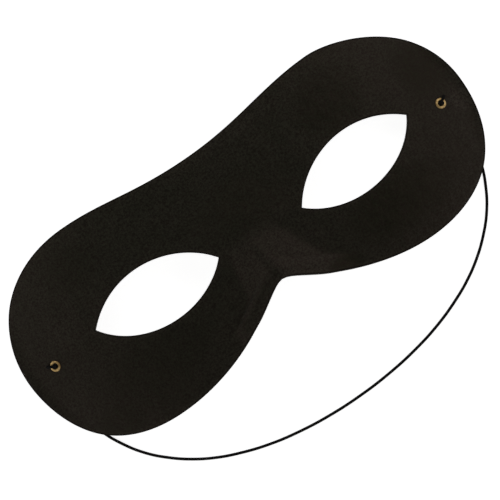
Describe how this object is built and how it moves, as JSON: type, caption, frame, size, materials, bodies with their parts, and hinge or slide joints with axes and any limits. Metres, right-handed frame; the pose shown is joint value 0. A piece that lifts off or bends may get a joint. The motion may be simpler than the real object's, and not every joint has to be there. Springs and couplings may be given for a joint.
{
  "type": "domino mask",
  "caption": "Black half mask of moulded cloth with almond eye holes, brass eyelets and an elastic head cord, lying face up.",
  "frame": {"origin": "on the surface that the mask lies on, at the middle of the mask without its cord", "axes": "+X along the mask, from the wearer's right temple to the left one, +Y towards the brow, +Z out of the mask's face"},
  "size_m": [0.1956, 0.1143, 0.0214],
  "materials": {
    "mask_cloth": "matt black stiffened cloth",
    "eyelet_brass": "worn bright brass",
    "elastic": "braided black elastic"
  },
  "bodies": {
    "root": {"mask_shell": "mask_cloth", "eyelet_left": "eyelet_brass", "eyelet_right": "eyelet_brass", "elastic_cord": "elastic", "knot_left": "elastic", "knot_right": "elastic"}
  },
  "joints": []
}
